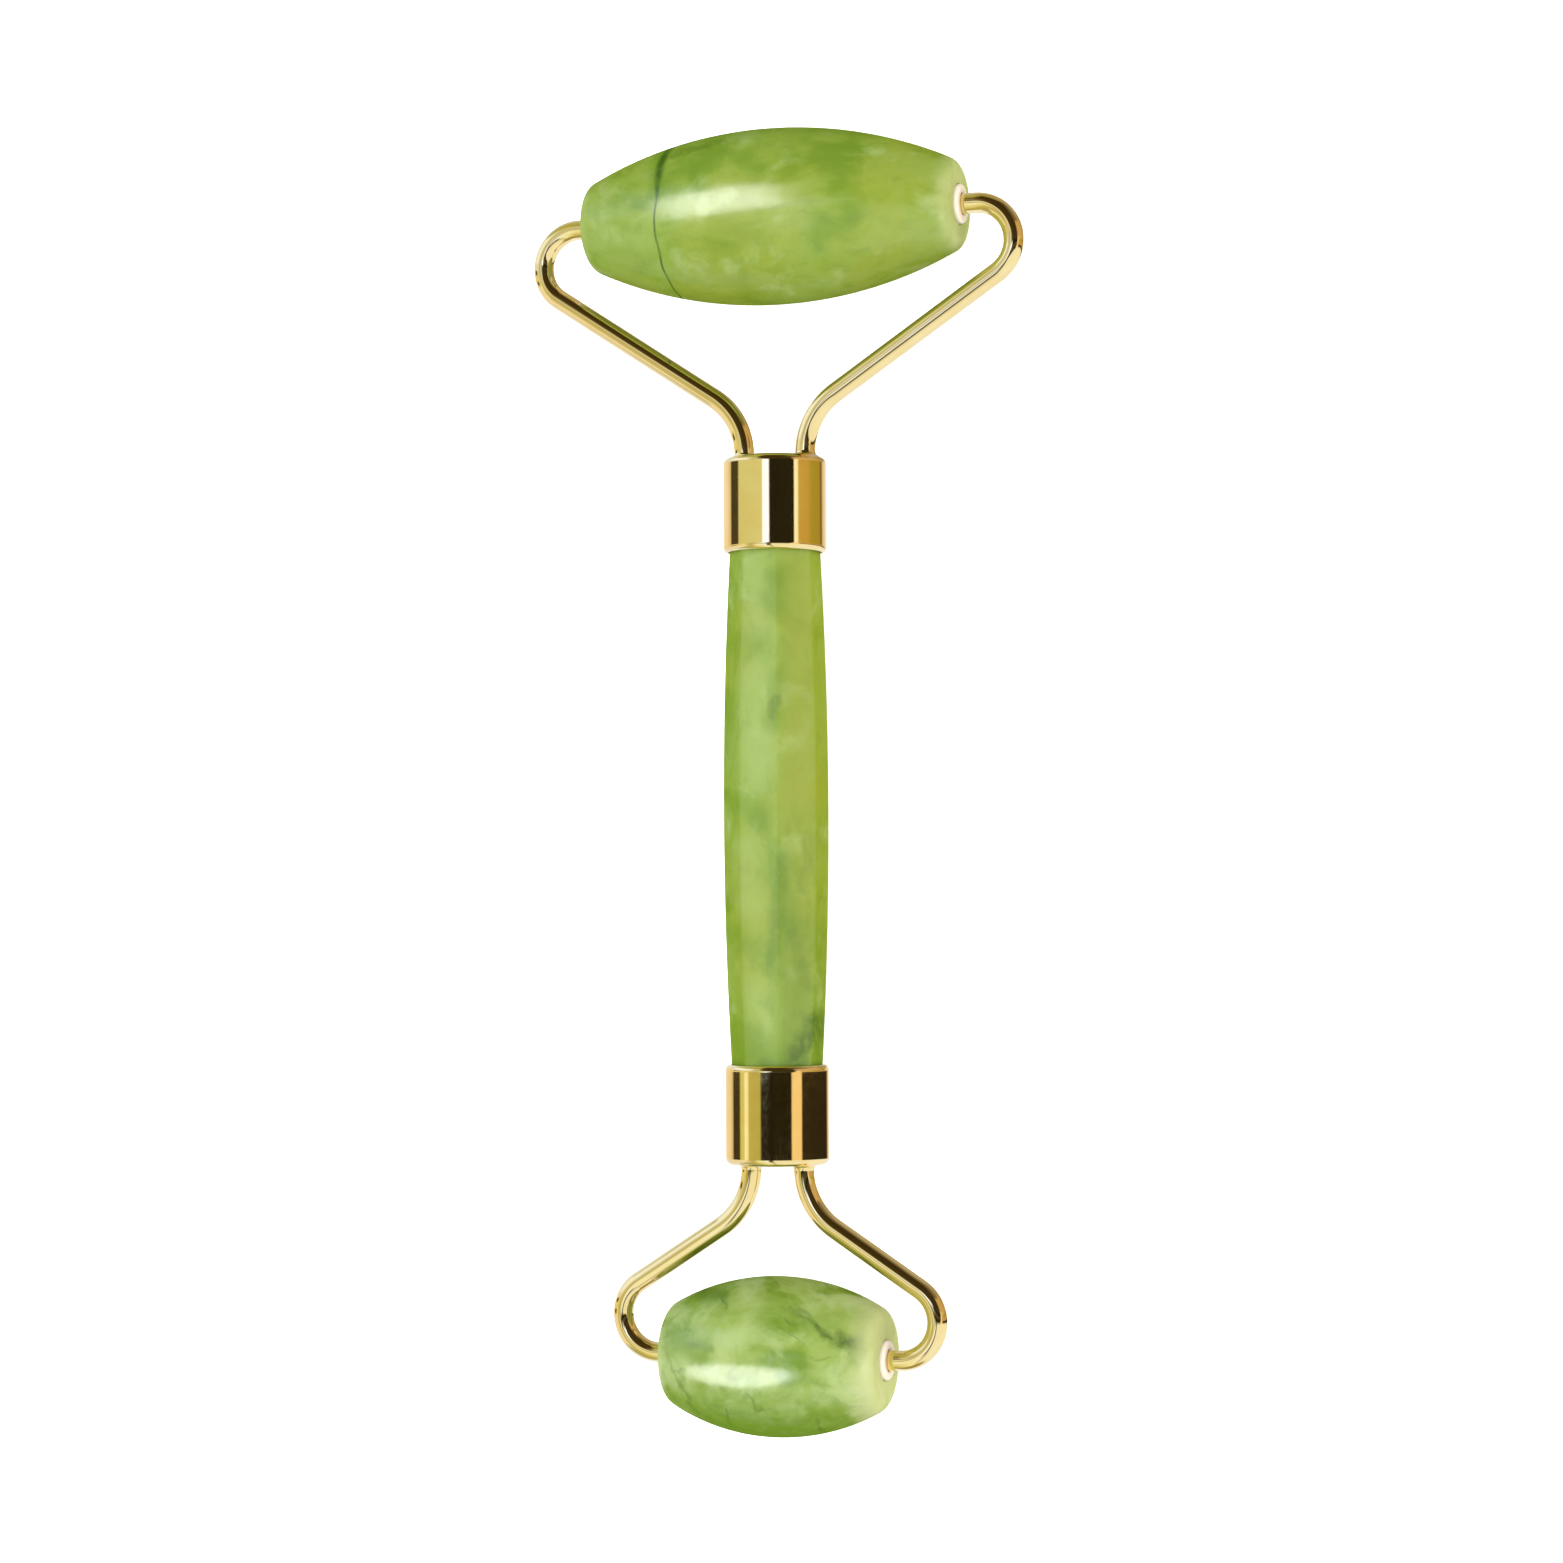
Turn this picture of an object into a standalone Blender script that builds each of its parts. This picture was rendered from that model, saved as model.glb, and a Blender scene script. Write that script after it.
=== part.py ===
"""A jade face roller, lying flat: a stone handle with a wire fork and a spinning stone at each end.

+Y runs up the handle to the large roller, +X runs along the roller axes and +Z is up. Both forks lie
in one plane, at the height of the thicker stone's radius, and the origin is under the middle of the
whole length, on the surface that this stone rests on.
"""

import math
from types import SimpleNamespace

import bmesh
import bpy
from mathutils import Matrix, Vector

MM = 0.001

# Handle: an octagonal barrel of stone with two flats parallel to the forks' plane
GRIP_LENGTH = 56.6 * MM  # what shows between the two ferrules
GRIP_SIDES = 8
GRIP_BULGE = 0.81 * MM  # how much farther out the corners are at mid-length than at the ends
GRIP_EDGE_WIDTH = 0.35 * MM  # softening of the long corners
GRIP_BANDS = 13  # lengthwise bands, an odd number so that the middle one is parallel to the axis
SPIGOT_STEP = 0.1 * MM  # how far the round spigots lie inside the octagon's flats

# Ferrules: drawn caps that close on the handle's ends
FERRULE_RADIUS = 5.72 * MM
FERRULE_WALL = 0.52 * MM
FERRULE_END_WALL = 1.2 * MM
FERRULE_RIM_RADIUS = 0.5 * MM
MOUTH_ENTRY = 0.6 * MM  # how far the octagon itself goes into the mouth

# Forks: two bent wires each
WIRE_RADIUS = 1.13 * MM
NECK_BEND_RADIUS = 7.8 * MM
SHOULDER_BEND_RADIUS = 4.24 * MM
NECK_LENGTH = 0.4 * MM  # straight wire between the ferrule's face and the first bend
STUB_DEPTH = 2.4 * MM  # wire below the ferrule's end wall
PIN_DEPTH = 5.5 * MM  # wire inside the stone's end
BRAZE_HEIGHT = 0.6 * MM
BRAZE_WIDTH = 0.42 * MM
BRAZE_HOLLOW = 0.85  # share of its width and height that the braze's concave side takes

# Bushes: plastic sleeves pressed into the stones, which turn on the wire pins
BUSH_LENGTH = 6.5 * MM
BUSH_WALL = 0.95 * MM
BUSH_NOSE = 0.45 * MM  # how far a bush stands out of the stone
BUSH_NOSE_ROUND = 0.3 * MM

# Fits
PLUG_THICKNESS = 2.8 * MM  # glue between the ferrule's end wall and the spigot
GLUED_GAP = 0.06 * MM
RUNNING_CLEARANCE = 0.09 * MM

# The two ends. reach is from the ferrule's end face to the roller's axis, leg_inset is from the
# ferrule's bore to the nearest side of a leg, and shoulder_gap is the pin that shows beside the stone.
LARGE_STONE = SimpleNamespace(
    name="large_roller",
    length=43.2 * MM,
    radius=9.78 * MM,
    end_radius=4.76 * MM,
    edge_radius=1.6 * MM,
)
SMALL_STONE = SimpleNamespace(
    name="small_roller",
    length=24.9 * MM,
    radius=8.83 * MM,
    end_radius=5.32 * MM,
    edge_radius=1.6 * MM,
)
UPPER_END = SimpleNamespace(
    name="upper",
    direction=1,
    stone=LARGE_STONE,
    ferrule_length=10.6 * MM,
    reach=26.93 * MM,
    leg_inset=0.49 * MM,
    shoulder_gap=1.88 * MM,
)
LOWER_END = SimpleNamespace(
    name="lower",
    direction=-1,
    stone=SMALL_STONE,
    ferrule_length=11.0 * MM,
    reach=21.08 * MM,
    leg_inset=1.0 * MM,
    shoulder_gap=1.64 * MM,
)

# Fineness of the round shapes
TURNED_STEPS = 32
SMALL_TURNED_STEPS = 24
BARREL_SEGMENTS = 11  # an odd number, so that a stone rests on a flat band at its middle
EDGE_SEGMENTS = 4
NOSE_SEGMENTS = 3
NECK_SEGMENTS = 6
SHOULDER_SEGMENTS = 13

# Sizes that follow
FERRULE_BORE = FERRULE_RADIUS - FERRULE_WALL
GRIP_END_RADIUS = FERRULE_BORE - GLUED_GAP
SPIGOT_RADIUS = GRIP_END_RADIUS * math.cos(math.pi / GRIP_SIDES) - SPIGOT_STEP
LEG_HOLE_RADIUS = WIRE_RADIUS + GLUED_GAP
BUSH_BORE = WIRE_RADIUS + RUNNING_CLEARANCE
BUSH_RADIUS = BUSH_BORE + BUSH_WALL
STONE_BORE = BUSH_RADIUS + GLUED_GAP
SPIGOT_END = FERRULE_END_WALL + PLUG_THICKNESS + 2 * GLUED_GAP  # below the ferrule's end face
FORK_HEIGHT = max(end.stone.radius for end in (UPPER_END, LOWER_END))
WHOLE_LENGTH = GRIP_LENGTH + sum(
    end.ferrule_length + end.reach + end.stone.radius for end in (UPPER_END, LOWER_END)
)


def face_position(end):
    """Y of the end face of one ferrule."""
    return end.direction * (WHOLE_LENGTH / 2 - end.stone.radius - end.reach)


def leg_offset(end):
    """Distance of a leg's centreline from the handle's axis."""
    return FERRULE_BORE - end.leg_inset - WIRE_RADIUS


def fork_half_width(end):
    """Distance of a shoulder's outermost centreline from the handle's axis."""
    return end.stone.length / 2 + end.shoulder_gap + SHOULDER_BEND_RADIUS


# ---------------------------------------------------------------- scene, materials and placing


def clear_scene():
    for item in list(bpy.context.scene.objects):
        bpy.data.objects.remove(item)


def new_collection(name):
    collection = bpy.data.collections.new(name)
    bpy.context.scene.collection.children.link(collection)
    return collection


def new_material(name, colour, roughness, metallic=0.0):
    material = bpy.data.materials.new(name)
    material.use_nodes = True
    material.diffuse_color = (*colour, 1.0)
    shader = material.node_tree.nodes["Principled BSDF"]
    shader.inputs["Base Color"].default_value = (*colour, 1.0)
    shader.inputs["Roughness"].default_value = roughness
    shader.inputs["Metallic"].default_value = metallic
    return material


def new_empty(name, collection, matrix, parent=None):
    empty = bpy.data.objects.new(name, None)
    empty.empty_display_size = 5 * MM
    collection.objects.link(empty)
    empty.parent = parent
    empty.matrix_local = matrix
    return empty


def new_object(name, data, collection, parent, matrix=None, material=None):
    item = bpy.data.objects.new(name, data)
    collection.objects.link(item)
    item.parent = parent
    if matrix is not None:
        item.matrix_local = matrix
    if material is not None:
        data.materials.append(material)
    return item


def mark_as_cutter(item):
    item.hide_render = True
    item.display_type = "WIRE"


# ---------------------------------------------------------------- shapes


def arc(centre, radius, start, end, segments):
    """Points of an arc in a plane, from angle start to angle end."""
    points = []
    for step in range(segments + 1):
        angle = start + (end - start) * step / segments
        points.append(
            (centre[0] + radius * math.cos(angle), centre[1] + radius * math.sin(angle))
        )
    return points


def turned(name, profile, steps, collection, parent, matrix, material, closed=False):
    """A piece turned about its local Z. The profile is (radius, height) points, down the outside."""
    mesh = bpy.data.meshes.new(name)
    edges = [(index, index + 1) for index in range(len(profile) - 1)]
    if closed:
        edges.append((len(profile) - 1, 0))
    mesh.from_pydata([(radius, 0.0, height) for radius, height in profile], edges, [])
    item = new_object(name, mesh, collection, parent, matrix, material)
    screw = item.modifiers.new("Turn", "SCREW")
    screw.axis = "Z"
    screw.angle = 2 * math.pi
    screw.steps = steps
    screw.render_steps = steps
    screw.use_merge_vertices = True
    screw.merge_threshold = 1e-6
    return item


def combine(item, operand, operation):
    boolean = item.modifiers.new(operation.title(), "BOOLEAN")
    boolean.operation = operation
    boolean.solver = "EXACT"
    boolean.object = operand


def finish(item):
    """Makes the modifiers' result the object's own mesh, smooth except at its real edges."""
    depsgraph = bpy.context.evaluated_depsgraph_get()
    mesh = bpy.data.meshes.new_from_object(item.evaluated_get(depsgraph))
    mesh.name = item.name
    item.modifiers.clear()
    item.data = mesh
    mesh.shade_smooth()
    mesh.set_sharp_from_angle(angle=math.radians(30))


def cylinder_mesh(name, radius, bottom, top, centres):
    """Closed cylinders along Z, one at each (x, y) centre, as one mesh."""
    mesh = bpy.data.meshes.new(name)
    builder = bmesh.new()
    for centre in centres:
        place = Matrix.Translation(Vector((*centre, (bottom + top) / 2)))
        bmesh.ops.create_cone(
            builder,
            cap_ends=True,
            segments=SMALL_TURNED_STEPS,
            radius1=radius,
            radius2=radius,
            depth=top - bottom,
            matrix=place,
        )
    builder.to_mesh(mesh)
    builder.free()
    return mesh


# ---------------------------------------------------------------- handle


def grip_profile():
    """The octagon's corner line, from the upper end's centre to the lower end's centre."""
    half = GRIP_LENGTH / 2 + MOUTH_ENTRY
    points = [(0.0, half)]
    for line in range(GRIP_BANDS + 1):
        height = half * (1 - 2 * line / GRIP_BANDS)
        bulge = GRIP_BULGE * (1 - (height / half) ** 2)
        points.append((GRIP_END_RADIUS + bulge, height))
    points.append((0.0, -half))
    return points


def make_handle(parts, cutters, jade):
    """An octagonal barrel with a round spigot at each end, along world Y."""
    middle = (face_position(UPPER_END) - UPPER_END.ferrule_length) - GRIP_LENGTH / 2
    along_y = Matrix.Translation((0.0, middle, FORK_HEIGHT)) @ Matrix.Rotation(-math.pi / 2, 4, "X")
    flats_level = Matrix.Rotation(math.pi / GRIP_SIDES, 4, "Z")
    handle = turned(
        "handle", grip_profile(), GRIP_SIDES, parts, None, along_y @ flats_level, jade
    )
    bevel = handle.modifiers.new("Soft corners", "BEVEL")
    bevel.width = GRIP_EDGE_WIDTH
    bevel.segments = 2
    bevel.limit_method = "ANGLE"
    bevel.angle_limit = math.radians(30)
    upper_end = GRIP_LENGTH / 2 + UPPER_END.ferrule_length - SPIGOT_END
    lower_end = -(GRIP_LENGTH / 2 + LOWER_END.ferrule_length - SPIGOT_END)
    rod_profile = [
        (0.0, upper_end),
        (SPIGOT_RADIUS, upper_end),
        (SPIGOT_RADIUS, lower_end),
        (0.0, lower_end),
    ]
    rod = turned("spigot_rod", rod_profile, TURNED_STEPS, cutters, None, along_y, None)
    mark_as_cutter(rod)
    combine(handle, rod, "UNION")
    finish(handle)


# ---------------------------------------------------------------- forks


def ferrule_profile(length):
    """A cap whose closed end is at height 0 and whose mouth is below."""
    rim = FERRULE_RIM_RADIUS
    lip = FERRULE_WALL / 2
    points = [(0.0, 0.0)]
    points += arc((FERRULE_RADIUS - rim, -rim), rim, math.pi / 2, 0.0, EDGE_SEGMENTS)
    points += arc(
        (FERRULE_RADIUS - lip, lip - length), lip, 0.0, -math.pi / 2, EDGE_SEGMENTS
    )
    points += [
        (FERRULE_BORE, -length),
        (FERRULE_BORE, -FERRULE_END_WALL),
        (0.0, -FERRULE_END_WALL),
    ]
    return points


def glue_profile(length):
    """Hardened glue: a plug under the end wall, and a thin sleeve around the spigot."""
    top = -FERRULE_END_WALL - GLUED_GAP
    plug_bottom = top - PLUG_THICKNESS
    sleeve_bottom = MOUTH_ENTRY + GLUED_GAP - length
    outside = FERRULE_BORE - GLUED_GAP
    inside = SPIGOT_RADIUS + GLUED_GAP
    return [
        (0.0, top),
        (outside, top),
        (outside, sleeve_bottom),
        (inside, sleeve_bottom),
        (inside, plug_bottom),
        (0.0, plug_bottom),
    ]


def braze_profile():
    """A small concave collar where a leg leaves the ferrule's face."""
    inside = LEG_HOLE_RADIUS
    corner = (inside + BRAZE_WIDTH, GLUED_GAP + BRAZE_HEIGHT)
    curve = []
    for step in range(EDGE_SEGMENTS + 1):
        angle = math.pi + (math.pi / 2) * step / EDGE_SEGMENTS
        curve.append(
            (
                corner[0] + BRAZE_HOLLOW * BRAZE_WIDTH * math.cos(angle),
                corner[1] + BRAZE_HOLLOW * BRAZE_HEIGHT * math.sin(angle),
            )
        )
    return [
        (inside, corner[1]),
        *curve,
        (corner[0], GLUED_GAP),
        (inside, GLUED_GAP),
    ]


def arm_points(end):
    """Centreline of the +X arm: up from the stub, out over the neck, and back in as the pin."""
    leg = leg_offset(end)
    width = fork_half_width(end)
    neck, shoulder = NECK_BEND_RADIUS, SHOULDER_BEND_RADIUS
    across = width - leg - neck - shoulder
    along = end.reach - NECK_LENGTH - shoulder
    straight = math.sqrt(across**2 + along**2 - (neck + shoulder) ** 2)
    slope = math.atan2(along, across) - math.atan2(neck + shoulder, straight)
    neck_arc = arc(
        (leg + neck, NECK_LENGTH), neck, math.pi, math.pi / 2 + slope, NECK_SEGMENTS
    )
    shoulder_arc = arc(
        (width - shoulder, end.reach - shoulder),
        shoulder,
        slope - math.pi / 2,
        math.pi / 2,
        SHOULDER_SEGMENTS,
    )
    stub = (leg, -FERRULE_END_WALL - STUB_DEPTH)
    pin_tip = (end.stone.length / 2 - PIN_DEPTH, end.reach)
    return [stub, *neck_arc, *shoulder_arc, pin_tip]


def make_arm(name, end, side, parts, parent, gold):
    """One bent wire. side is 1 for +X and -1 for -X."""
    points = arm_points(end)
    curve = bpy.data.curves.new(name, "CURVE")
    curve.dimensions = "3D"
    curve.bevel_depth = WIRE_RADIUS
    curve.bevel_resolution = 4
    curve.use_fill_caps = True
    spline = curve.splines.new("POLY")
    spline.points.add(len(points) - 1)
    for point, (across, along) in zip(spline.points, points):
        point.co = (side * across, 0.0, along, 1.0)
    new_object(name, curve, parts, parent, None, gold)


def make_fork(end, parts, cutters, looks):
    """A ferrule with its two wires, their braze, and the glue inside."""
    place = Matrix.Translation((0.0, face_position(end), FORK_HEIGHT))
    outward = Matrix.Rotation(-end.direction * math.pi / 2, 4, "X")
    frame = new_empty(f"{end.name}_fork", parts, place @ outward)
    legs = [(side * leg_offset(end), 0.0) for side in (-1, 1)]
    hole_bottom = -SPIGOT_END - BRAZE_HEIGHT
    hole_mesh = cylinder_mesh(
        f"{end.name}_leg_holes", LEG_HOLE_RADIUS, hole_bottom, BRAZE_HEIGHT, legs
    )
    holes = new_object(f"{end.name}_leg_holes", hole_mesh, cutters, frame)
    mark_as_cutter(holes)

    bodies = (
        (f"{end.name}_ferrule", ferrule_profile(end.ferrule_length), looks.gold),
        (f"{end.name}_glue", glue_profile(end.ferrule_length), looks.glue),
    )
    for name, profile, material in bodies:
        body = turned(name, profile, TURNED_STEPS, parts, frame, Matrix(), material)
        combine(body, holes, "DIFFERENCE")
        finish(body)

    for side, word in ((-1, "left"), (1, "right")):
        make_arm(f"{end.name}_{word}_arm", end, side, parts, frame, looks.gold)
        at_leg = Matrix.Translation((side * leg_offset(end), 0.0, 0.0))
        braze = turned(
            f"{end.name}_{word}_braze",
            braze_profile(),
            SMALL_TURNED_STEPS,
            parts,
            frame,
            at_leg,
            looks.gold,
            closed=True,
        )
        finish(braze)
    return frame


# ---------------------------------------------------------------- rollers


def stone_profile(stone):
    """A barrel whose side is one arc, with rounded edges and a straight bore."""
    half = stone.length / 2
    sag = stone.radius - stone.end_radius
    side_radius = (half**2 + sag**2) / (2 * sag)
    side_centre = (stone.radius - side_radius, 0.0)
    edge = stone.edge_radius
    lean = math.asin((half - edge) / (side_radius - edge))
    edge_centre = side_centre[0] + (side_radius - edge) * math.cos(lean)
    points = [(STONE_BORE, half)]
    points += arc((edge_centre, half - edge), edge, math.pi / 2, lean, EDGE_SEGMENTS)
    points += arc(side_centre, side_radius, lean, -lean, BARREL_SEGMENTS)[1:-1]
    points += arc((edge_centre, edge - half), edge, -lean, -math.pi / 2, EDGE_SEGMENTS)
    points.append((STONE_BORE, -half))
    return points


def bush_profile(stone):
    """A sleeve for the end of the stone at +height, with a rounded nose outside it."""
    nose = stone.length / 2 + BUSH_NOSE
    shank = nose - BUSH_LENGTH
    rounding = BUSH_NOSE_ROUND
    points = [(BUSH_BORE, nose)]
    nose_centre = (BUSH_RADIUS - rounding, nose - rounding)
    points += arc(nose_centre, rounding, math.pi / 2, 0.0, NOSE_SEGMENTS)
    points += [(BUSH_RADIUS, shank), (BUSH_BORE, shank)]
    return points


def make_roller(end, fork_frame, parts, looks):
    """The stone and its two bushes, which turn together about the pins."""
    stone = end.stone
    axis_place = Matrix.Translation((0.0, 0.0, end.reach))
    axis = new_empty(f"{stone.name}_axis", parts, axis_place, fork_frame)
    ends = {
        "right": Matrix.Rotation(math.pi / 2, 4, "Y"),
        "left": Matrix.Rotation(-math.pi / 2, 4, "Y"),
    }
    pieces = [(f"{stone.name}_stone", stone_profile(stone), ends["right"], looks.jade)]
    for word, turn in ends.items():
        pieces.append(
            (f"{stone.name}_{word}_bush", bush_profile(stone), turn, looks.nylon)
        )
    for name, profile, turn, material in pieces:
        piece = turned(
            name, profile, TURNED_STEPS, parts, axis, turn, material, closed=True
        )
        finish(piece)


def main():
    clear_scene()
    parts = new_collection("jade_face_roller")
    cutters = new_collection("cutters")
    looks = SimpleNamespace(
        jade=new_material("jade", (0.36, 0.50, 0.10), 0.18),
        gold=new_material("gold_plate", (0.86, 0.66, 0.30), 0.08, metallic=1.0),
        nylon=new_material("white_nylon", (0.86, 0.82, 0.78), 0.45),
        glue=new_material("clear_glue", (0.75, 0.72, 0.60), 0.35),
    )
    make_handle(parts, cutters, looks.jade)
    for end in (UPPER_END, LOWER_END):
        frame = make_fork(end, parts, cutters, looks)
        make_roller(end, frame, parts, looks)


main()
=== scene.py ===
"""The looks of a jade face roller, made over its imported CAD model.

Every visible piece is made again in fine detail in the place of its CAD node, in jade, gold plate
or nylon, and rides on the same body. The glue stays as it is and gets its own finish. Then come the
floor, the light and the camera.
"""

import math
from typing import NamedTuple

import bmesh
import bpy
from bpy.props import FloatProperty, FloatVectorProperty, IntProperty, PointerProperty
from bpy.types import Operator, Panel, PropertyGroup
from mathutils import Matrix, Vector


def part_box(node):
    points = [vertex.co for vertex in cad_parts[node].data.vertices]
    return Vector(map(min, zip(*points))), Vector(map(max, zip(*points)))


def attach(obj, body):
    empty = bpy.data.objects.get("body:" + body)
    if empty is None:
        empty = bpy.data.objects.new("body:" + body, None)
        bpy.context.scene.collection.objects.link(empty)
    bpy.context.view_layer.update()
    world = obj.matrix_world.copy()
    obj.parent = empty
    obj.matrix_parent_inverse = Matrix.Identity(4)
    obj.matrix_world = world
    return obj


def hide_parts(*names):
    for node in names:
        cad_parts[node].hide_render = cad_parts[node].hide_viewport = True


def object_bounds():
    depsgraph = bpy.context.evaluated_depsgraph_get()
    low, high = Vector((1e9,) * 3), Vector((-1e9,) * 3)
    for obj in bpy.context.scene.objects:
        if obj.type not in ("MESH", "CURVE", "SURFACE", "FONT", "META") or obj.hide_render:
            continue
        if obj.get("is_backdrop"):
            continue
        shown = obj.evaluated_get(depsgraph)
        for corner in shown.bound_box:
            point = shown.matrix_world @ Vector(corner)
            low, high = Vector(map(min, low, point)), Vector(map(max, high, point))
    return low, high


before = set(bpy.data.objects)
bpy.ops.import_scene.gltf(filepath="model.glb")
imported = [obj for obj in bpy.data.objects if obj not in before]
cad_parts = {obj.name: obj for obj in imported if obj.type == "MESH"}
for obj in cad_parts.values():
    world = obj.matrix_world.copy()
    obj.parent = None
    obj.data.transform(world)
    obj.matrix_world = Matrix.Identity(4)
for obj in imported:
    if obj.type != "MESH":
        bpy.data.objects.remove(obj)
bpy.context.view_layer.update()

bl_info = {
    "name": "Jade Face Roller",
    "version": (1, 0, 0),
    "blender": (4, 5, 0),
    "location": "3D View > Sidebar > Roller",
    "description": "Finely made stones, handle, ferrules and forks of a jade face roller",
    "category": "Object",
}

MM = 0.001
ENDS = {"upper": ("large_roller", 1), "lower": ("small_roller", -1)}
SIDES = {"left": -1, "right": 1}
UP = Vector((0.0, 0.0, 1.0))

SHARP_ANGLE = math.radians(32)  # edges sharper than this stay crisp
STONE_STEPS = 160  # steps round the axis of each turned piece
FERRULE_STEPS = 128
BUSH_STEPS = 96
BRAZE_STEPS = 64
NECK_STEPS = 48  # steps along the bends of a wire
SHOULDER_STEPS = 72
WIRE_RESOLUTION = 14
LEG_CLEARANCE = 0.06 * MM  # round a wire in the ferrule's end
POLE = 1e-7  # a ring smaller than this is one point


def node_size(node):
    low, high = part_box(node)
    return high - low


def node_middle(node):
    low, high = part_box(node)
    return (low + high) / 2


def ferrule_face(end):
    """The middle of a ferrule's closed end."""
    face = node_middle(f"{end}_ferrule")
    face.y += ENDS[end][1] * node_size(f"{end}_ferrule").y / 2
    return face


# -------- sizes and colours


def length(name, description, default):
    return FloatProperty(
        name=name, description=description, default=default, min=0.0, unit="LENGTH", precision=5
    )


def colour(name, description, default):
    return FloatVectorProperty(
        name=name, description=description, default=default, size=3, min=0.0, max=1.0, subtype="COLOR"
    )


def tilt(name, description, degrees):
    return FloatProperty(
        name=name, description=description, default=math.radians(degrees), subtype="ANGLE"
    )


class HandleSizes(PropertyGroup):
    width: length("Width", "Between two opposite flats at mid-length", node_size("handle").x)
    end_width: length("End width", "Between two opposite flats at the mouths", 9.5 * MM)
    edge_rounding: length("Edge rounding", "Radius of the eight long edges", 1.1 * MM)
    crown: length("Crown", "How much a flat rises to its middle", 0.05 * MM)
    spigot_radius: length("Spigot radius", "Round ends inside the ferrules", 4.64 * MM)
    mouth_entry: length("Mouth entry", "How far the octagon goes into a mouth", 0.6 * MM)
    rings: IntProperty(name="Rings", description="Rings along the grip", default=72, min=8)


class ForkSizes(PropertyGroup):
    ferrule_radius: length(
        "Ferrule radius", "Outside radius of both ferrules", node_size("upper_ferrule").x / 2
    )
    wall: length("Wall", "Thickness of a ferrule's side", 0.52 * MM)
    end_wall: length("End wall", "Thickness of a ferrule's closed end", 1.2 * MM)
    rim_rounding: length("Rim rounding", "Radius of the closed end's rim", 0.75 * MM)
    lip_width: length("Lip width", "Rounding of the mouth's lip across the wall", 0.42 * MM)
    lip_height: length("Lip height", "Rounding of the mouth's lip along the side", 0.65 * MM)
    wire_radius: length(
        "Wire radius", "Radius of the bent wires", node_size("upper_left_arm").z / 2
    )
    neck_bend: length("Neck bend", "Centreline radius of the bend near the ferrule", 7.8 * MM)
    shoulder_bend: length("Shoulder bend", "Centreline radius of the outer bend", 4.24 * MM)
    neck: length("Neck", "Straight wire before the first bend", 0.4 * MM)
    pin_depth: length("Pin depth", "Wire inside a stone", 5.5 * MM)
    braze_height: length("Braze height", "Height of the metal around a leg", 0.6 * MM)
    braze_width: length("Braze width", "Width of the metal around a leg", 0.44 * MM)


class RollerSizes(PropertyGroup):
    large_end_radius: length("Large end radius", "The large stone's radius at its ends", 4.76 * MM)
    small_end_radius: length("Small end radius", "The small stone's radius at its ends", 5.32 * MM)
    edge_rounding: length("Edge rounding", "Radius of the stones' end edges", 1.6 * MM)
    bore_radius: length("Bore radius", "Radius of the hole through a stone", 2.23 * MM)
    pin_hole: length("Pin hole", "Radius of the hole through a bush", 1.22 * MM)
    nose_rounding: length("Nose rounding", "Rounding of a bush's nose", 0.3 * MM)


class StoneColours(PropertyGroup):
    body: colour("Body", "Main green", (0.194, 0.284, 0.025))
    pale: colour("Pale", "Paler clouds", (0.235, 0.33, 0.062))
    deep: colour("Deep", "Darker clouds", (0.122, 0.218, 0.016))
    warm: colour("Warm", "Yellow areas", (0.245, 0.290, 0.026))
    milk: colour("Milk", "Milky patches", (0.37, 0.47, 0.19))
    # End: painted light glowing through the thin stone around the bushes
    end: colour("End", "Thin stone around the bushes", (0.62, 0.64, 0.38))
    moss: colour("Moss", "Dark veins and specks", (0.030, 0.082, 0.005))


class OtherColours(PropertyGroup):
    gold: colour("Gold", "Polished gold plate", (0.96, 0.76, 0.38))
    nylon: colour("Nylon", "Plastic bushes", (0.86, 0.79, 0.74))
    glue: colour("Glue", "Hardened glue", (0.74, 0.66, 0.42))
    floor: colour("Floor", "Studio floor", (0.95, 0.95, 0.95))


class StudioSizes(PropertyGroup):
    lens: FloatProperty(
        name="Lens", description="Focal length in millimetres", default=88.99, min=1.0
    )
    distance: length("Distance", "From the camera to the roller's middle", 427.4 * MM)
    turn: tilt("Turn", "How far the camera stands towards the right side", 19.592)
    lean: tilt("Lean", "How far the camera stands towards the large roller", -2.089)
    roll: tilt("Roll", "Turn of the picture about the line of sight", -0.249)
    aim: FloatVectorProperty(
        name="Aim",
        description="Where the camera looks, from the roller's middle",
        default=(0.64 * MM, -0.25 * MM, 0.0),
        size=3,
        subtype="TRANSLATION",
    )


# -------- shapes


def arc(centre, radius, start, end, segments):
    """Points of an arc in a plane, from angle start to angle end."""
    points = []
    for step in range(segments + 1):
        angle = start + (end - start) * step / segments
        points.append((centre[0] + radius * math.cos(angle), centre[1] + radius * math.sin(angle)))
    return points


def bridge(builder, first, second):
    """Faces between two rings. A ring of one vertex is a pole."""
    count = max(len(first), len(second))
    for index in range(count):
        following = (index + 1) % count
        corners = [first[index % len(first)], first[following % len(first)]]
        corners += [second[following % len(second)], second[index % len(second)]]
        unique = list(dict.fromkeys(corners))
        builder.faces.new(unique)


def smooth(mesh):
    """Shades a mesh smooth, but sharp at real edges."""
    mesh.shade_smooth()
    mesh.set_sharp_from_angle(angle=SHARP_ANGLE)


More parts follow.
